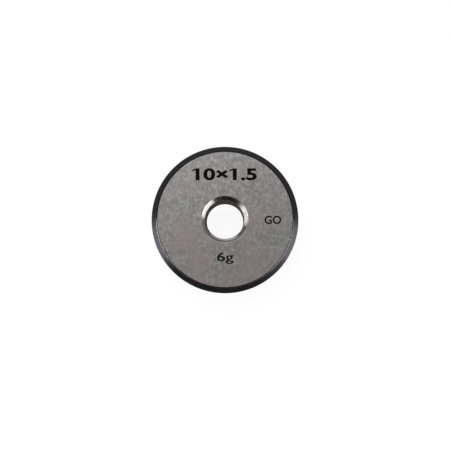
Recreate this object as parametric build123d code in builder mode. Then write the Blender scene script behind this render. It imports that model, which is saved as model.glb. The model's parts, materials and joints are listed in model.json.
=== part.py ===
from build123d import *
from build123d.topology import SkipClean

import math
import os

# Thread ring gauge, M10 x 1.5, GO side: one hardened steel ring with a ground right-hand thread.
# The ring lies flat on its back face. Its axis is Z, the back face is at Z = 0 and the marked
# front face is at the top. The turned blank, its knurl, its countersinks and the helical thread
# are one solid.

# Blank, in millimetres
outer_diameter = 32.0
thickness = 12.0
rim_chamfer = 1.25  # 45 degree chamfer round both faces
rim_edge_break = 0.1  # stoned flat on both edges of each chamfer

# Straight knurl round the rim, for the fingers, between two plain lands
knurl_teeth = 84
knurl_depth = 0.42  # of its 90 degree grooves
knurl_below_rim = 0.05  # how far the teeth lie below the lands, which keeps them off a bench
relief_below_knurl = 0.05  # how far the turned relief at each end goes below the grooves
relief_floor = 0.2  # width of the relief's flat floor
land_width = 0.8  # plain rim between each chamfer and the relief

# ISO metric thread
thread_diameter = 10.0  # nominal size, across the bottom of the groove
thread_pitch = 1.5
flank_angle = 30.0  # of each flank, from the plane square to the axis
thread_start = 90.0  # where the groove runs out of the front face, in degrees from +X
crest_flat_share = 1 / 4  # flat left on each crest, as a share of the pitch
root_flat_share = 1 / 8  # flat at the bottom of the groove, as a share of the pitch

# Drilled and countersunk before the thread is cut
mouth_clearance = 0.05  # how far each countersink's mouth stands outside the thread
countersink_angle = 45.0  # of the countersink's wall, from the axis
boring_allowance = 0.3  # left by the drill, on the radius, for boring to the crest of the thread

# Sizes that follow from those above
rim_radius = outer_diameter / 2
face_radius = rim_radius - rim_chamfer
flank_slope = math.tan(math.radians(flank_angle))
root_radius = thread_diameter / 2
groove_depth = thread_pitch * (1 - crest_flat_share - root_flat_share) / 2 / flank_slope
crest_radius = root_radius - groove_depth
drill_radius = crest_radius - boring_allowance
mouth_radius = root_radius + mouth_clearance
countersink_slope = math.tan(math.radians(countersink_angle))
countersink_depth = (mouth_radius - crest_radius) / countersink_slope
drill_depth = (mouth_radius - drill_radius) / countersink_slope
half_turn_rise = thread_pitch / 2
knurl_radius = rim_radius - knurl_below_rim
relief_radius = knurl_radius - knurl_depth - relief_below_knurl
relief_start = rim_chamfer + land_width
relief_end = relief_start + rim_radius - relief_radius + relief_floor
knurl_start = relief_end + knurl_radius - relief_radius

# The groove's tool reaches into the bore, where it cuts only air. It stops short of the sharp
# point where the flanks of two turns would meet.
sharp_crest_height = thread_pitch * crest_flat_share / 2 / flank_slope
tool_radius = crest_radius - 0.8 * sharp_crest_height


def groove_half_height(radius):
    """Half the groove's height at this radius."""
    return thread_pitch * root_flat_share / 2 + (root_radius - radius) * flank_slope


# Half a turn of the groove: its section swept up a right-hand helix
with BuildPart() as half_turn:
    with BuildLine():
        Helix(pitch=thread_pitch, height=half_turn_rise, radius=crest_radius)
    with BuildSketch(Plane.XZ):
        with BuildLine():
            Polyline(
                (tool_radius, -groove_half_height(tool_radius)),
                (root_radius, -groove_half_height(root_radius)),
                (root_radius, groove_half_height(root_radius)),
                (tool_radius, groove_half_height(tool_radius)),
                close=True,
            )
        make_face()
    sweep(is_frenet=True)

# One place for each half turn, from below the back face to above the front face. The middle of
# the groove crosses the front face at thread_start.
lowest_turn = -math.ceil(thickness / half_turn_rise) - 2
turn_places = [
    Location((0, 0, thickness + turn * half_turn_rise), (0, 0, thread_start + turn * 180))
    for turn in range(lowest_turn, 2)
]

# The faces on either side of a seam are not merged here, so the bore that is cut in two halves
# keeps a seam down each side, and each face of the crest is half a turn long.
with SkipClean():
    with BuildPart() as gauge_ring:
        # The turned blank, drilled and countersunk
        with BuildSketch(Plane.XZ):
            with BuildLine():
                Polyline(
                    (drill_radius, drill_depth),
                    (mouth_radius, 0),
                    (face_radius, 0),
                    (rim_radius, rim_chamfer),
                    (rim_radius, relief_start),
                    (relief_radius, relief_end - relief_floor),
                    (relief_radius, relief_end),
                    (knurl_radius, knurl_start),
                    (knurl_radius, thickness - knurl_start),
                    (relief_radius, thickness - relief_end),
                    (relief_radius, thickness - relief_end + relief_floor),
                    (rim_radius, thickness - relief_start),
                    (rim_radius, thickness - rim_chamfer),
                    (face_radius, thickness),
                    (mouth_radius, thickness),
                    (drill_radius, thickness - drill_depth),
                    close=True,
                )
            make_face()
            corners = vertices().filter_by_position(Axis.X, face_radius - rim_edge_break, rim_radius)
            corners = corners.sort_by(Axis.Y)
            chamfer(corners[:2] + corners[-2:], rim_edge_break)
        revolve(axis=Axis.Z)

        # The knurl, which runs out into the relief at both ends
        with BuildSketch(Plane.XY.offset(relief_end)):
            with PolarLocations(knurl_radius, knurl_teeth):
                Polygon(
                    (-knurl_depth, 0),
                    (knurl_below_rim, -knurl_depth - knurl_below_rim),
                    (knurl_below_rim, knurl_depth + knurl_below_rim),
                    align=None,
                )
        extrude(amount=thickness - 2 * relief_end, mode=Mode.SUBTRACT)

        # The bore
        for side in (0, 180):
            Cylinder(
                crest_radius,
                thickness,
                arc_size=180,
                rotation=(0, 0, side),
                align=(Align.NONE, Align.NONE, Align.MIN),
                mode=Mode.SUBTRACT,
            )

        # The thread
        with Locations(*turn_places):
            add(half_turn.part, mode=Mode.SUBTRACT)

gauge_ring.part.label = "gauge_ring"
os.makedirs("parts", exist_ok=True)
export_step(gauge_ring.part, "parts/gauge_ring.step")

print("crest radius", round(crest_radius, 4))
print("length of the crest", round(thickness - 2 * countersink_depth, 3))
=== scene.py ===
# %% [markdown]
# # Thread ring gauge
# A thread ring gauge is a hardened steel ring with an exact screw thread through it. A screw that
# is made right turns through it by hand. It is one piece of steel with four finishes. Both faces
# are ground, the countersinks are bright, the thread between them is given a darker tone, a painted
# shade for the depth of the bore, and the rim with its knurled grip is blackened. A laser has burnt
# black marks into the front face.
#
# The imported solid is the frame. It gives the box, the thread and the place, so every size here
# starts from it, and the dressed ring stands exactly where the plain one is.

import json
import math

import bmesh
import bpy
from bmesh.types import BMEdge, BMFace, BMVert
from mathutils import Matrix, Vector


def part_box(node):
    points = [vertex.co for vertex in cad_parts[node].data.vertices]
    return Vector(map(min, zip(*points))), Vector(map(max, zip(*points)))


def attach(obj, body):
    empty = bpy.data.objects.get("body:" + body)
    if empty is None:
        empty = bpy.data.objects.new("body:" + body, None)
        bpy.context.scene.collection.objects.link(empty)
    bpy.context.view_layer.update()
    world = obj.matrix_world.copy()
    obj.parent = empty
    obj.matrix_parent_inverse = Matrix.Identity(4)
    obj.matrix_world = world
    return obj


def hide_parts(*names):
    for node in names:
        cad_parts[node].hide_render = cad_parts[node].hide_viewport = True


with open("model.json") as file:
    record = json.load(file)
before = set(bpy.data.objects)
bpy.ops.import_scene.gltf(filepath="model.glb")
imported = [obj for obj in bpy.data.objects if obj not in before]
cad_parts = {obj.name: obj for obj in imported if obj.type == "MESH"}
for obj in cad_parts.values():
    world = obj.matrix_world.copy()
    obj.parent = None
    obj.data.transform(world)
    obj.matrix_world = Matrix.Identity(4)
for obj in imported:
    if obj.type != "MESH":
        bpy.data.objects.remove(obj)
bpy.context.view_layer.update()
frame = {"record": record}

# %% [markdown]
# ## Sizes
# A fine thread is easier to cut in millimetres than in metres, because Blender's mesh tools treat
# points nearer than about a ten-thousandth of a unit as one. So the ring is made in millimetres
# and scaled to metres as its last step. The outside, the crest of the thread and the countersinks
# come from the frame. The other sizes are those that the solid was made with.

# %% Sizes in millimetres
MM = 0.001
SAME_POINT = 1e-4  # points nearer to each other than this are merged
SAME_PLACE = 2e-3  # how near a point lies to the corner that it is looked up by
low_corner, high_corner = (Vector(corner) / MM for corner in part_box("gauge_ring"))
thickness = high_corner.z - low_corner.z
rim_radius = (high_corner.x - low_corner.x) / 2

mounts = {mount["name"]: mount for mount in frame["record"]["mounts"]}
crest_radius = mounts["thread"]["dims"]["r_mm"]
countersink_depth = (thickness - mounts["thread"]["dims"]["length_mm"]) / 2
mouth_radius = crest_radius + countersink_depth

pitch = 1.5
root_radius = 5.0
root_flat = pitch / 8
crest_flat = pitch / 4
thread_start = math.radians(90)  # where the groove runs out of the front face, from +X
rim_chamfer = 1.25
face_radius = rim_radius - rim_chamfer
print("ring", round(2 * rim_radius, 3), "by", round(thickness, 3), "mm")
print("thread crest", round(2 * crest_radius, 3), "mm across, mouth", round(2 * mouth_radius, 3))

# %% [markdown]
# ## The thread, rolled out flat
# A screw thread is hard to model in place, since every edge of it is a curve in space. Rolled out
# flat, like a rack, it is easy: along X lies the way round the bore, along Y the radius, and Z
# stays Z. There the thread is a few straight ridges at a slant, and a countersink is a flat cut at
# 45 degrees. So the ridges are drawn as one section, drawn out along the slant, and cut by two
# planes. Then the sheet is rolled up, and what was flat is an exact helix or an exact cone.

# %% The section of the thread
lap = 2 * math.pi * rim_radius
spare_turns = 3
turns = math.ceil(thickness / pitch) + spare_turns
first_groove = thickness + pitch * (1 - turns - thread_start / (2 * math.pi))
groove_corners = [
    (crest_radius, (crest_flat - pitch) / 2),
    (root_radius, -root_flat / 2),
    (root_radius, root_flat / 2),
    (crest_radius, (pitch - crest_flat) / 2),
]

ring = bmesh.new()
round_layer = ring.faces.layers.int.new("round")
section = [
    ring.verts.new((0, radius, first_groove + turn * pitch + height))
    for turn in range(turns)
    for radius, height in groove_corners
]
for below, above in zip(section, section[1:]):
    ring.edges.new((below, above))
print("section:", len(section), "corners in", turns, "grooves")


# %% Draw the section out along the slant
def items_of(made, kind):
    """The items of one kind, such as faces, among what a mesh operator made."""
    return [item for item in made["geom"] if isinstance(item, kind)]


drawn = bmesh.ops.extrude_edge_only(ring, edges=ring.edges[:])
bmesh.ops.translate(ring, verts=items_of(drawn, BMVert), vec=(lap, 0, pitch))
print("ridges and grooves:", len(ring.faces), "long faces")


# %% [markdown]
# No ground edge is a knife edge. A narrow bevel on every edge takes the light as a fine line, and
# it is most of what makes steel look real. Its faces are tagged, so that later the line between
# a round and a flat can be kept crisp. A face that is made next to a round may copy its tag, and
# not the same way in every run, so each new flat has its tag set back.

# %% Round the crests and roots of the thread
def tag_faces(faces, tag):
    """Marks faces as part of a round, with 1, or as flats, with 0."""
    for face in faces:
        face[round_layer] = tag


def round_edges(edges, width, segments):
    """Bevels edges by width on each side, and tags the new faces as rounds."""
    made = bmesh.ops.bevel(
        ring,
        geom=edges,
        offset=width,
        offset_type="OFFSET",
        segments=segments,
        profile=0.5,
        affect="EDGES",
        material=-1,
        clamp_overlap=True,
    )
    tag_faces(made["faces"], 1)
    return len(made["faces"])


thread_edge_round = 0.035
long_edges = [edge for edge in ring.edges if len(edge.link_faces) == 2]
print("rounds on the thread:", round_edges(long_edges, thread_edge_round, 2))


# %% Cut the countersinks
def cut_sheet(place, direction, reach, clear_beyond):
    """Cuts all of the sheet by a plane. Points within reach of the plane count as on it."""
    bmesh.ops.bisect_plane(
        ring,
        geom=ring.verts[:] + ring.edges[:] + ring.faces[:],
        dist=reach,
        plane_co=place,
        plane_no=direction,
        clear_outer=clear_beyond,
    )


# The height of each face, and the way out of the ring from there
faces_of_ring = ((thickness, 1), (0, -1))
for face_height, outward in faces_of_ring:
    cut_sheet((0, mouth_radius, face_height), (0, -1, outward), reach=1e-5, clear_beyond=True)
print("after the cuts:", len(ring.faces), "faces")


# %% Fill each countersink's wall, from the cut to the mouth
def is_on_wall(vert, face_height, outward):
    """True where a point of the flat sheet lies in a countersink's wall."""
    return abs((vert.co.y - mouth_radius) - outward * (vert.co.z - face_height)) < SAME_POINT


for face_height, outward in faces_of_ring:
    cut = [
        edge
        for edge in ring.edges
        if edge.is_boundary and all(is_on_wall(vert, face_height, outward) for vert in edge.verts)
    ]
    ends = [
        vert
        for vert in {vert for edge in cut for vert in edge.verts}
        if sum(edge in cut for edge in vert.link_edges) == 1
    ]
    ends.sort(key=lambda vert: vert.co.x)
    corners = [ring.verts.new((end.co.x, mouth_radius, face_height)) for end in ends]
    sides = [ring.edges.new((end, corner)) for end, corner in zip(ends, corners)]
    mouth = ring.edges.new(corners)
    wall = bmesh.ops.contextual_create(ring, geom=[*cut, *sides, mouth])
    tag_faces(wall["faces"], 0)
print("with both countersinks:", len(ring.faces), "faces")

# %% [markdown]
# The sheet is still made of long faces. It is cut across into sectors, three for each tooth of the
# knurl round the rim: one for the tooth's flat and two for the groove's flanks. That way all the
# rings of points line up later. Then the sheet is rolled up round Z, and its two ends are merged.

# %% Cut the sheet into sectors and roll it up
teeth = 84
knurl_depth = 0.42
knurl_below_rim = 0.05  # how far the teeth lie below the plain rim
relief_below_knurl = 0.05  # how far the relief at each end goes below the grooves
knurl_radius = rim_radius - knurl_below_rim
groove_radius = knurl_radius - knurl_depth
relief_radius = groove_radius - relief_below_knurl

tooth_angle = 2 * math.pi / teeth
half_groove_angle = knurl_depth / knurl_radius
for tooth in range(teeth):
    for angle in (
        tooth * tooth_angle,
        tooth * tooth_angle + half_groove_angle,
        (tooth + 1) * tooth_angle - half_groove_angle,
    ):
        cut_sheet((angle * rim_radius, 0, 0), (1, 0, 0), reach=1e-6, clear_beyond=False)
for vert in ring.verts:
    way_round, radius, height = vert.co
    angle = way_round / rim_radius
    vert.co = (radius * math.cos(angle), radius * math.sin(angle), height)
bmesh.ops.remove_doubles(ring, verts=ring.verts[:], dist=SAME_POINT)
print("rolled up:", len(ring.faces), "faces")
print("open edges:", sum(edge.is_boundary for edge in ring.edges))


# %% [markdown]
# ## The outside
# From the mouth outwards the ring is plain turning, so its open edge is drawn out step by step,
# as a lathe tool would go: across the face, down the chamfer, along the rim, and back to the other
# mouth.

# %% Turn the front face, its chamfer and the plain land of the rim
def open_loop(height):
    """The open edges that lie at this height."""
    return [
        edge
        for edge in ring.edges
        if edge.is_boundary and all(abs(vert.co.z - height) < SAME_PLACE for vert in edge.verts)
    ]


def turn_to(loop, radius, height):
    """Draws an open loop out to a new radius and height, and returns the new loop."""
    made = bmesh.ops.extrude_edge_only(ring, edges=loop)
    tag_faces(items_of(made, BMFace), 0)
    for vert in items_of(made, BMVert):
        stretch = radius / math.hypot(vert.co.x, vert.co.y)
        vert.co = (vert.co.x * stretch, vert.co.y * stretch, height)
    return [edge for edge in items_of(made, BMEdge) if edge.is_boundary]


land_width = 0.8  # of the plain rim at each end
relief_floor = 0.2  # width of the relief's flat floor
relief_start = rim_chamfer + land_width
relief_end = relief_start + rim_radius - relief_radius + relief_floor
knurl_start = relief_end + knurl_radius - relief_radius

loop = open_loop(thickness)
for radius, height in (
    (face_radius, thickness),
    (rim_radius, thickness - rim_chamfer),
    (rim_radius, thickness - relief_start),
    (relief_radius, thickness - relief_end + relief_floor),
    (relief_radius, thickness - relief_end),
):
    loop = turn_to(loop, radius, height)
print("rim turned down to the relief at", round(thickness - relief_end, 2), "mm")

# %% [markdown]
# ## The knurl
# The grip is a straight knurl, sharp grooves that a wheel presses into the rim. Both ends of the
# teeth are turned down to a cone that falls into the relief. So a ring of points is drawn up that
# cone to the top of the teeth, and every third point, where a groove lies, slides back down it to
# the groove's floor. The same at the other end gives the whole knurl in three steps of the loop.


# %% Roll the knurl and turn the rest of the rim and the back face
def sink_grooves(loop, height):
    """Slides the points that lie in the middle of a groove down to its floor, at this height."""
    nearly_whole = 0.01
    for vert in {vert for edge in loop for vert in edge.verts}:
        tooth = math.atan2(vert.co.y, vert.co.x) / tooth_angle
        if abs(tooth - round(tooth)) < nearly_whole:
            stretch = groove_radius / math.hypot(vert.co.x, vert.co.y)
            vert.co = (vert.co.x * stretch, vert.co.y * stretch, height)


loop = turn_to(loop, knurl_radius, thickness - knurl_start)
sink_grooves(loop, thickness - relief_end - relief_below_knurl)
loop = turn_to(loop, knurl_radius, knurl_start)
sink_grooves(loop, relief_end + relief_below_knurl)
for radius, height in (
    (relief_radius, relief_end),
    (relief_radius, relief_end - relief_floor),
    (rim_radius, relief_start),
    (rim_radius, rim_chamfer),
    (face_radius, 0),
    (mouth_radius, 0),
):
    loop = turn_to(loop, radius, height)
bmesh.ops.remove_doubles(ring, verts=ring.verts[:], dist=SAME_POINT)
bmesh.ops.recalc_face_normals(ring, faces=ring.faces[:])
print("closed:", all(edge.is_manifold for edge in ring.edges), len(ring.faces), "faces")


# %% Round the rim's edges and break the sharp edge of each mouth
def edges_at(radius, height):
    """The edges of a turned corner, all at one radius and height."""
    return [
        edge
        for edge in ring.edges
        if all(
            abs(math.hypot(vert.co.x, vert.co.y) - radius) < SAME_PLACE
            and abs(vert.co.z - height) < SAME_PLACE
            for vert in edge.verts
        )
    ]


rim_edge_round = 0.14
mouth_edge_round = 0.02
relief_edge_round = 0.04
tooth_edge_round = 0.03
tooth_edges = [
    edge
    for edge in ring.edges
    if abs(edge.verts[0].co.z - edge.verts[1].co.z) > thickness / 4
    and math.hypot(edge.verts[0].co.x, edge.verts[0].co.y) > knurl_radius - SAME_PLACE
]
print("tooth edges:", len(tooth_edges), "rounds:", round_edges(tooth_edges, tooth_edge_round, 2))
for face_height, outward in reversed(faces_of_ring):
    chamfer_height = face_height - outward * rim_chamfer
    relief_height = face_height - outward * relief_start
    for radius, height, width, segments in (
        (face_radius, face_height, rim_edge_round, 3),
        (rim_radius, chamfer_height, rim_edge_round, 3),
        (mouth_radius, face_height, mouth_edge_round, 2),
        (rim_radius, relief_height, relief_edge_round, 2),
    ):
        corner = edges_at(radius, height)
        print("edge at", round(radius, 2), round(height, 2), "of", len(corner), "segments")
        round_edges(corner, width, segments)

# %% [markdown]
# ## Shading and finishes by place
# Faces that belong to one turned or ground surface are shaded smooth. An edge stays crisp where
# two surfaces meet at more than 20 degrees, and where a round meets its flat, so that the flat
# keeps an even shine right up to the round. Each face then takes its finish from its place. The
# countersinks and the thread's run-out in them are bright, and the thread further down is given a
# darker finish, a painted shade for the depth of the bore. What the surface grinder touched is
# ground, and the rest is black. Only on the viewer's side, the outer line of the round between face
# and chamfer is bare ground steel: wear, and, being on that side alone, a painted highlight where
# the edge catches the light.

# %% Crisp edges
crisp_angle = math.radians(20)
for edge in ring.edges:
    first, second = edge.link_faces
    meets_round = first[round_layer] != second[round_layer]
    edge.smooth = not (meets_round or edge.calc_face_angle() > crisp_angle)
for face in ring.faces:
    face.smooth = True
print("crisp edges:", sum(not edge.smooth for edge in ring.edges))

# %% Finishes
GROUND, BRIGHT, THREAD, BLACK = range(4)
ground_tilt = math.radians(5)
# Tilts of the rim round's outer line that get bare steel: wear, and a painted highlight on the
# viewer's side only.
wear_and_highlight_from, wear_and_highlight_to = math.radians(30), math.radians(44)

for face in ring.faces:
    centre = face.calc_center_median()
    radius = math.hypot(centre.x, centre.y)
    tilt = math.acos(min(1, abs(face.normal.z)))
    if radius < mouth_radius + mouth_edge_round:
        depth_in_bore = min(centre.z, thickness - centre.z)
        # Below the countersinks the thread takes its darker finish, a painted shade for the depth
        # of the bore.
        face.material_index = BRIGHT if depth_in_bore < countersink_depth else THREAD
    # Bare ground steel on the outer line of the rim's round, on the viewer's side only: wear, and a
    # painted highlight.
    elif tilt < ground_tilt or (wear_and_highlight_from < tilt < wear_and_highlight_to and centre.y < 0):
        face.material_index = GROUND
    else:
        face.material_index = BLACK
for finish, name in enumerate(("ground", "bright", "thread", "black")):
    print(name, "faces:", sum(face.material_index == finish for face in ring.faces))

# %% The finished ring, in metres
bmesh.ops.scale(ring, verts=ring.verts[:], vec=(MM, MM, MM))
ring_mesh = bpy.data.meshes.new("ring")
ring.to_mesh(ring_mesh)
ring.free()
ring_piece = bpy.data.objects.new("ring", ring_mesh)
bpy.context.scene.collection.objects.link(ring_piece)
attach(ring_piece, "root")
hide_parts("gauge_ring")
print("ring:", sum(len(polygon.vertices) - 2 for polygon in ring_mesh.polygons), "triangles")


# %% [markdown]
# ## The marks
# A gauge carries its size, its tolerance and the word GO, burnt dark into the ground face by a
# laser. Each mark is Blender's own plain letters, made a mesh, fitted to its place by height and
# width, and laid on the face as a skin of a hundredth of a millimetre. A skin stays crisp at any
# distance, where a pattern in the material would blur. In these letters a one is a bare bar, so its
# left side is cut across near the top, and the upper part is drawn out and down into a flag.

# %% Close the letters and give each bare bar its flag
letter_size = 4
letter_depth = 0.5  # to each side of the letter's middle
flag_root, flag_reach, flag_drop = 0.84, 0.2, 0.14  # as shares of a capital's height


def faces_left(face):
    """True for the left side of an upright stroke."""
    return face.normal.x < -0.99


def add_flags(mesh):
    """Closes the seams of a word's mesh, and draws a flag out of every bare upright bar."""
    letters = bmesh.new()
    letters.from_mesh(mesh)
    bmesh.ops.remove_doubles(letters, verts=letters.verts[:], dist=SAME_POINT)
    capital = max(vert.co.y for vert in letters.verts)
    least_area = 0.9 * capital * 2 * letter_depth
    bars = [face for face in letters.faces if faces_left(face) and face.calc_area() > least_area]
    for bar in bars:
        left = bar.calc_center_median().x
        bmesh.ops.bisect_plane(
            letters,
            geom=[bar, *bar.edges, *bar.verts],
            dist=1e-5,
            plane_co=(0, flag_root * capital, 0),
            plane_no=(0, 1, 0),
        )
        upper = [
            face
            for face in letters.faces
            if faces_left(face)
            and abs(face.calc_center_median().x - left) < SAME_POINT
            and face.calc_center_median().y > flag_root * capital
        ]
        drawn_out = bmesh.ops.extrude_face_region(letters, geom=upper)
        flag = Vector((-flag_reach, -flag_drop, 0)) * capital
        bmesh.ops.translate(letters, verts=items_of(drawn_out, BMVert), vec=flag)
        bmesh.ops.delete(letters, geom=upper, context="FACES")
    closed = all(edge.is_manifold for edge in letters.edges)
    letters.to_mesh(mesh)
    letters.free()
    print("flags:", len(bars), "closed:", closed)


# %% Lay the marks
mark_skin = 0.01


def lay_mark(name, words, centre, height, width, boldness):
    """Words as a thin black skin on the front face, of a given height and width, round a centre."""
    letters = bpy.data.curves.new(name, "FONT")
    letters.body = words
    letters.size = letter_size
    letters.offset = boldness
    letters.extrude = letter_depth
    letters.resolution_u = 6
    source = bpy.data.objects.new(name, letters)
    bpy.context.scene.collection.objects.link(source)
    bpy.context.view_layer.update()
    depsgraph = bpy.context.evaluated_depsgraph_get()
    mesh = bpy.data.meshes.new_from_object(source.evaluated_get(depsgraph))
    bpy.data.objects.remove(source)
    add_flags(mesh)
    corners = [vert.co for vert in mesh.vertices]
    lows = Vector([min(corner[axis] for corner in corners) for axis in range(3)])
    highs = Vector([max(corner[axis] for corner in corners) for axis in range(3)])
    spans = highs - lows
    mesh.transform(Matrix.Translation(-(lows + highs) / 2))
    fit = Matrix.Diagonal((width / spans.x, height / spans.y, mark_skin / spans.z, 1))
    place = Matrix.Translation((*centre, thickness + mark_skin / 2))
    mesh.transform(Matrix.Scale(MM, 4) @ place @ fit)
    piece = bpy.data.objects.new(name, mesh)
    bpy.context.scene.collection.objects.link(piece)
    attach(piece, "root")
    print(name, len(mesh.polygons), "faces")
    return piece


marks = [
    lay_mark("mark_size", "10×1.5", (-0.1, 9.75), height=2.65, width=14.0, boldness=0.14),
    lay_mark("mark_go", "GO", (10.34, -0.15), height=1.8, width=3.6, boldness=0.09),
    lay_mark("mark_tolerance", "6g", (0.05, -8.4), height=2.5, width=3.6, boldness=0.05),
]


# %% [markdown]
# ## Finishes
# Two effects come back from steel to steel. Grinding leaves fine straight scratches, the lay, and
# steel that has been handled is clouded in faint patches. Each is a node group, made once and set
# differently wherever it is used. They read object coordinates, in metres, so the grain has one
# true size on every face.

# %% Helpers for nodes
def start_group(name, inputs, outputs):
    """An empty node group with named number inputs and outputs, and its two end nodes."""
    group = bpy.data.node_groups.new(name, "ShaderNodeTree")
    number = "NodeSocketFloat"
    for label, value in inputs:
        socket = group.interface.new_socket(name=label, in_out="INPUT", socket_type=number)
        socket.default_value = value
    for label in outputs:
        group.interface.new_socket(name=label, in_out="OUTPUT", socket_type=number)
    return group, group.nodes.new("NodeGroupInput"), group.nodes.new("NodeGroupOutput")


def add_node(tree, kind, links=(), **settings):
    """A node of a kind in a tree, with its settings, and links or values for its inputs."""
    node = tree.nodes.new(kind)
    for setting, value in settings.items():
        setattr(node, setting, value)
    for socket, source in dict(links).items():
        if isinstance(source, bpy.types.NodeSocket):
            tree.links.new(source, node.inputs[socket])
        else:
            node.inputs[socket].default_value = source
    return node


def calculate(tree, operation, first, second):
    """What a math node makes of two numbers, each a value or a socket."""
    return add_node(tree, "ShaderNodeMath", {0: first, 1: second}, operation=operation).outputs[0]


def span_values(tree, mask, low, high, start=0.3, end=0.7, **settings):
    """A number that goes from low to high as the mask goes from start to end."""
    node = add_node(
        tree,
        "ShaderNodeMapRange",
        {"Value": mask, "From Min": start, "From Max": end, "To Min": low, "To Max": high},
        **settings,
    )
    return node.outputs["Result"]


# %% The lay of the grinding wheel
def make_grinding_lay():
    """Straight scratches. Fineness is how many lie in a metre, and Stretch how short they are."""
    group, given, result = start_group(
        "grinding_lay", [("Direction", 0.0), ("Fineness", 9000.0), ("Stretch", 0.05)], ["Scratches"]
    )
    place = add_node(group, "ShaderNodeTexCoord")
    turned = add_node(
        group,
        "ShaderNodeVectorRotate",
        {"Vector": place.outputs["Object"], "Angle": given.outputs["Direction"]},
        rotation_type="Z_AXIS",
    )
    across = given.outputs["Fineness"]
    along = calculate(group, "MULTIPLY", across, given.outputs["Stretch"])
    scale = add_node(group, "ShaderNodeCombineXYZ", {"X": along, "Y": across, "Z": across})
    stretched = add_node(
        group,
        "ShaderNodeVectorMath",
        {0: turned.outputs[0], 1: scale.outputs[0]},
        operation="MULTIPLY",
    )
    noise = add_node(
        group,
        "ShaderNodeTexNoise",
        {"Vector": stretched.outputs[0], "Scale": 1.0, "Detail": 2.0},
    )
    group.links.new(noise.outputs["Fac"], result.inputs["Scratches"])
    return group


grinding_lay = make_grinding_lay()
print("grinding lay:", len(grinding_lay.nodes), "nodes")


# %% The clouding of handled steel
speck_scale = 4200.0
speck_edge, speck_core = 0.66, 0.74  # of the noise that the specks are cut from


def make_clouding():
    """Soft patches from 0 to 1, as many in a metre as Scale says, and a few bright specks."""
    group, given, result = start_group("clouding", [("Scale", 300.0)], ["Patches", "Specks"])
    place = add_node(group, "ShaderNodeTexCoord").outputs["Object"]
    cloud = add_node(
        group,
        "ShaderNodeTexNoise",
        {"Vector": place, "Scale": given.outputs["Scale"], "Detail": 3.0, "Roughness": 0.6},
    )
    dots = add_node(
        group, "ShaderNodeTexNoise", {"Vector": place, "Scale": speck_scale, "Detail": 1.0}
    )
    specks = span_values(group, dots.outputs["Fac"], 0.0, 1.0, speck_edge, speck_core)
    group.links.new(cloud.outputs["Fac"], result.inputs["Patches"])
    group.links.new(specks, result.inputs["Specks"])
    return group


clouding = make_clouding()
print("clouding:", len(clouding.nodes), "nodes")


# %% Helpers for the materials
def start_material(name):
    """A new material, its node tree and its shader."""
    material = bpy.data.materials.new(name)
    material.use_nodes = True
    tree = material.node_tree
    shader = tree.nodes["Principled BSDF"]
    return material, tree, shader


def place_group(tree, group, **values):
    """A node group in a material's tree, with its own values."""
    node = add_node(tree, "ShaderNodeGroup", node_tree=group)
    for label, value in values.items():
        node.inputs[label].default_value = value
    return node


def mix_colours(tree, mask, first, second):
    """A colour that goes from the first to the second as the mask goes from 0 to 1."""
    node = add_node(tree, "ShaderNodeMix", {"Factor": mask}, data_type="RGBA")
    for socket, value in (("A", first), ("B", second)):
        slot = [item for item in node.inputs if item.name == socket and item.type == "RGBA"][0]
        if isinstance(value, bpy.types.NodeSocket):
            tree.links.new(value, slot)
        else:
            slot.default_value = (*value, 1)
    return [item for item in node.outputs if item.type == "RGBA"][0]


# %% [markdown]
# ### Ground steel
# A surface grinder leaves the faces flat and satin, with a short grain that all runs one way. A
# picture of steel would repeat or blur up close, so the grain is noise, stretched the way the wheel
# ran. Each mask lays one more tone over those before it: the scratches, the dull and the shining
# grain, a fine mottle, a warmth that grows towards the viewer, and a few bright specks. The same
# scratches also tilt the surface a little, through a bump of a few thousandths of a millimetre.

# %% Ground steel, for both faces
warmth_slope = -9.0  # change of the warmth for each metre away from the viewer
scratch_depth = 4e-6
pale, dark = (0.43, 0.428, 0.416), (0.32, 0.318, 0.309)
glint, dull = (0.56, 0.556, 0.545), (0.25, 0.248, 0.243)
mottle_tone, warm_tone, speck_tone = (0.25, 0.247, 0.243), (0.41, 0.335, 0.338), (0.66, 0.65, 0.64)


def make_ground_steel():
    """Satin grey with a short slanting grain, faint warm patches and bright specks."""
    material, tree, shader = start_material("ground_steel")
    grain = place_group(
        tree, grinding_lay, Direction=math.radians(80), Fineness=4100.0, Stretch=0.3
    ).outputs["Scratches"]
    scratch = place_group(
        tree, grinding_lay, Direction=math.radians(76), Fineness=12000.0, Stretch=0.03
    ).outputs["Scratches"]
    cloud = place_group(tree, clouding, Scale=210.0)
    mottle = place_group(tree, clouding, Scale=900.0)

    tone = mix_colours(tree, span_values(tree, scratch, 0, 1, 0.38, 0.62), dark, pale)
    tone = mix_colours(tree, span_values(tree, grain, 0.5, 0, 0.38, 0.5), tone, dull)
    tone = mix_colours(tree, span_values(tree, grain, 0, 0.7, 0.5, 0.64), tone, glint)
    mottled = span_values(tree, mottle.outputs["Patches"], 0.75, 0, 0.37, 0.58)
    tone = mix_colours(tree, mottled, tone, mottle_tone)
    place = add_node(tree, "ShaderNodeTexCoord")
    parts = add_node(tree, "ShaderNodeSeparateXYZ", {0: place.outputs["Object"]})
    slope = calculate(tree, "MULTIPLY", parts.outputs["Y"], warmth_slope)
    warmth = calculate(tree, "ADD", slope, cloud.outputs["Patches"])
    tone = mix_colours(tree, span_values(tree, warmth, 0, 0.85, 0.42, 0.70), tone, warm_tone)
    tone = mix_colours(tree, cloud.outputs["Specks"], tone, speck_tone)
    tree.links.new(tone, shader.inputs["Base Color"])

    tree.links.new(span_values(tree, grain, 0.30, 0.345), shader.inputs["Roughness"])
    bump = add_node(
        tree, "ShaderNodeBump", {"Height": scratch, "Distance": scratch_depth, "Strength": 0.3}
    )
    tree.links.new(bump.outputs["Normal"], shader.inputs["Normal"])
    shader.inputs["Metallic"].default_value = 1
    return material


ground_steel = make_ground_steel()
print("ground steel:", len(ground_steel.node_tree.nodes), "nodes")
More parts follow.
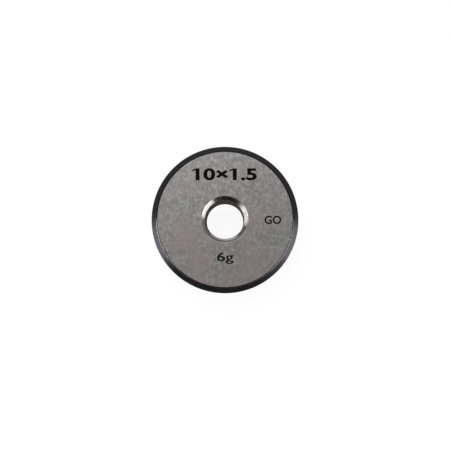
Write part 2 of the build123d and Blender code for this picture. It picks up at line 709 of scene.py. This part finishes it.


# %% [markdown]
# ### Bright, shaded and blackened steel
# The countersinks are ground bright, and the thread between them too, but the thread is given a
# darker tone, a painted shade for the depth of the bore. The rim has been dipped in hot salts,
# which leave a thin black oxide with a low gloss. All three are steel whose tone and shine drift a
# little in soft patches, so one function makes them from different values. Bare metal mirrors
# almost everything at a flat angle. For the thread, a low tint of the shine takes most of that
# glare away, also as painted shade.

# %% Bright steel, thread steel with painted shade, and blackened steel
def make_clouded_steel(name, scale, tones, roughness, grazing):
    """A steel whose tone and roughness each drift between two values, in soft patches. Grazing
    says how much of the light it still mirrors at a flat angle."""
    material, tree, shader = start_material(name)
    patches = place_group(tree, clouding, Scale=scale).outputs["Patches"]
    tone = mix_colours(tree, span_values(tree, patches, 0, 1), *tones)
    tree.links.new(tone, shader.inputs["Base Color"])
    tree.links.new(span_values(tree, patches, *roughness), shader.inputs["Roughness"])
    shader.inputs["Metallic"].default_value = 1
    shader.inputs["Specular Tint"].default_value = (grazing, grazing, grazing, 1)
    print(name, "at", scale, "patches to the metre")
    return material


bright_steel = make_clouded_steel(
    "bright_steel",
    scale=500.0,
    tones=((0.46, 0.435, 0.435), (0.55, 0.535, 0.535)),
    roughness=(0.22, 0.30),
    grazing=0.3,
)
# Painted shade: the thread's darker tones and its low tint of the shine stand for the shade down
# the bore.
painted_shade_thread_steel = make_clouded_steel(
    "painted_shade_thread_steel",
    scale=700.0,
    tones=((0.20, 0.19, 0.185), (0.31, 0.30, 0.295)),
    roughness=(0.24, 0.34),
    grazing=0.05,
)
blackened_steel = make_clouded_steel(
    "blackened_steel",
    scale=350.0,
    tones=((0.0110, 0.0107, 0.0135), (0.0165, 0.0158, 0.0195)),
    roughness=(0.27, 0.35),
    grazing=1.0,
)


# %% [markdown]
# ### Laser black
# The laser burns the steel to a thin dull scale, which is no bare metal any more. So the marks are
# nearly black, rough, and almost without a shine, and only their soot varies a little.

# %% Laser black, for the marks
def make_laser_black():
    """Steel burnt matt black by the laser."""
    material, tree, shader = start_material("laser_black")
    patches = place_group(tree, clouding, Scale=900.0).outputs["Patches"]
    charred, sooty = (0.003, 0.003, 0.003), (0.007, 0.007, 0.007)
    tone = mix_colours(tree, span_values(tree, patches, 0, 1), charred, sooty)
    tree.links.new(tone, shader.inputs["Base Color"])
    shader.inputs["Roughness"].default_value = 0.6
    shader.inputs["Specular IOR Level"].default_value = 0.04
    return material


# %% Put the finishes on
for material in (ground_steel, bright_steel, painted_shade_thread_steel, blackened_steel):
    ring_piece.data.materials.append(material)
laser_black = make_laser_black()
for mark in marks:
    mark.data.materials.append(laser_black)
print("finishes:", [slot.name for slot in ring_piece.material_slots])


# %% [markdown]
# ## The studio
# The ring lies on a pale floor that runs out of sight. The floor glows a little for the camera
# and in reflections, so that it stays pale down the bore too, and the rest of its tone is real
# light, which keeps the ring's shadow.

# %% The floor
floor_paint = (0.8, 0.8, 0.8, 1)
thin_floor_paint = (0.15, 0.15, 0.15, 1)
floor_glow = 0.92
floor_radius = 4


def make_pale_floor():
    """A pale floor: part glow for the camera and for reflections, part plain paint."""
    material = bpy.data.materials.new("pale_floor")
    material.use_nodes = True
    tree = material.node_tree
    tree.nodes.clear()
    output = tree.nodes.new("ShaderNodeOutputMaterial")
    path = tree.nodes.new("ShaderNodeLightPath")
    seen = calculate(tree, "MAXIMUM", path.outputs["Is Camera Ray"], path.outputs["Is Glossy Ray"])
    seen = calculate(tree, "MAXIMUM", seen, path.outputs["Is Transmission Ray"])
    paint = add_node(tree, "ShaderNodeBsdfDiffuse", {"Color": floor_paint})
    thin_paint = add_node(tree, "ShaderNodeBsdfDiffuse", {"Color": thin_floor_paint})
    glow = add_node(tree, "ShaderNodeEmission", {"Color": (1, 1, 1, 1), "Strength": floor_glow})
    glowing = add_node(tree, "ShaderNodeAddShader", {0: thin_paint.outputs[0], 1: glow.outputs[0]})
    mix = add_node(
        tree, "ShaderNodeMixShader", {0: seen, 1: paint.outputs[0], 2: glowing.outputs[0]}
    )
    tree.links.new(mix.outputs[0], output.inputs["Surface"])
    return material


floor_shape = bmesh.new()
bmesh.ops.create_circle(floor_shape, cap_ends=True, segments=96, radius=floor_radius)
floor_mesh = bpy.data.meshes.new("floor")
floor_shape.to_mesh(floor_mesh)
floor_shape.free()
floor = bpy.data.objects.new("floor", floor_mesh)
bpy.context.scene.collection.objects.link(floor)
floor.data.materials.append(make_pale_floor())
print("floor of", len(floor_mesh.polygons), "face")


# %% [markdown]
# The faces of the ring mirror what hangs above them, and its countersinks and chamfers mirror what
# stands around it, low down. So the main light is one large soft box overhead, towards the back
# left. A long box behind the ring lights the flanks of the thread that look up. A box on the left
# and one on the right shine across into the countersinks, and two small strips close to the floor
# light the chamfer at its sides. The side nearest the viewer stays dim, and that gives the steel
# its dark parts.

# %% The lamps
def add_lamp(name, place, aim, size, brightness):
    """A soft box in metres that shines from its place to its aim, as bright as a lit white card."""
    lamp = bpy.data.lights.new(name, "AREA")
    lamp.shape = "RECTANGLE"
    lamp.size, lamp.size_y = size
    lamp.energy = brightness * math.pi * lamp.size * lamp.size_y
    item = bpy.data.objects.new(name, lamp)
    item.location = place
    item.rotation_euler = (Vector(aim) - Vector(place)).to_track_quat("-Z", "Y").to_euler()
    bpy.context.scene.collection.objects.link(item)
    return item


def around(angle, distance, height):
    """A place in metres at an angle round the ring, in degrees from +X."""
    turned = math.radians(angle)
    return (distance * math.cos(turned), distance * math.sin(turned), height)


ring_middle = (0, 0, 0.01)
add_lamp("overhead", (-0.14, 0.36, 0.60), (0, 0, 0), size=(0.50, 0.50), brightness=1.35)
add_lamp("back", (0, 0.33, 0.23), ring_middle, size=(0.48, 0.09), brightness=2.4)
add_lamp("left", around(193, 0.26, 0.095), ring_middle, size=(0.24, 0.18), brightness=2.0)
add_lamp("right", around(333, 0.26, 0.05), ring_middle, size=(0.26, 0.09), brightness=3.1)
for name, angle in (("left_low", 196), ("right_low", 343)):
    strip_place = around(angle, 0.11, 0.007)
    add_lamp(name, strip_place, ring_middle, size=(0.062, 0.014), brightness=18.0)
print("lamps:", [lamp.name for lamp in bpy.data.lights])

# %% [markdown]
# Bright steel shows the whole room, so the world is a plain room too: grey walls, a dark band over
# them, and a lit ceiling. The band and the dark side towards the viewer are what the steel mirrors
# where it looks black. The camera sees none of it, only a white that goes on where the floor ends.

# %% The world
dark_side = (-0.75, -0.35)  # from dark to lit, as the Y of the direction looked in
walls_end = (0.12, 0.26)  # where the walls fade into the dark band, as its Z
ceiling_starts = (0.5, 0.85)  # where the ceiling fades in, as its Z
band_level = 0.08
room_strength = 0.45


def make_world():
    """A grey room, dark on the viewer's side and in a band between its walls and its ceiling. The
    camera sees it as white as the floor."""
    world = bpy.data.worlds.new("studio")
    world.use_nodes = True
    tree = world.node_tree
    place = tree.nodes.new("ShaderNodeTexCoord")
    parts = add_node(tree, "ShaderNodeSeparateXYZ", {0: place.outputs["Generated"]})
    away, up = parts.outputs["Y"], parts.outputs["Z"]
    near = span_values(tree, away, 0.0, 1.0, *dark_side, interpolation_type="SMOOTHSTEP")
    low = span_values(tree, up, 1.0, band_level, *walls_end, interpolation_type="SMOOTHSTEP")
    ceiling = span_values(tree, up, 0.0, 1.0, *ceiling_starts)
    walls = calculate(tree, "MULTIPLY", near, low)
    level = calculate(tree, "MAXIMUM", walls, ceiling)
    strength = calculate(tree, "MULTIPLY", level, room_strength)
    path = tree.nodes.new("ShaderNodeLightPath")
    seen = calculate(
        tree, "MAXIMUM", path.outputs["Is Camera Ray"], path.outputs["Is Transmission Ray"]
    )
    shown = span_values(tree, seen, strength, 1.0, 0.0, 1.0)
    background = tree.nodes["Background"]
    background.inputs["Color"].default_value = (1, 1, 1, 1)
    tree.links.new(shown, background.inputs["Strength"])
    return world


bpy.context.scene.world = make_world()
print("world:", bpy.context.scene.world.name)

# %% [markdown]
# ## The camera
# The camera looks straight down at the marked face from about 15 cm, a little from the side
# nearest the viewer. So close, the bore shows its perspective: the far mouth looks smaller than
# the near one and sits a little lower.

# %% The camera
camera_place = Vector((0.0, -9.6, 159.0))
camera_aim = Vector((0.0, -1.185, thickness - rim_chamfer))
camera_data = bpy.data.cameras.new("camera")
camera_data.lens = 54.6
camera_data.sensor_width = 36
camera_data.sensor_fit = "HORIZONTAL"
camera_data.clip_start = 0.005
camera = bpy.data.objects.new("camera", camera_data)
camera.location = camera_place * MM
backwards = (camera_place - camera_aim).normalized()
sideways = Vector((0, 1, 0)).cross(backwards).normalized()
upwards = backwards.cross(sideways)
camera.rotation_euler = Matrix((sideways, upwards, backwards)).transposed().to_euler()
bpy.context.scene.collection.objects.link(camera)
bpy.context.scene.camera = camera
bpy.context.scene.view_settings.view_transform = "Standard"
print("camera", round((camera_place - camera_aim).length, 1), "mm from what it looks at")
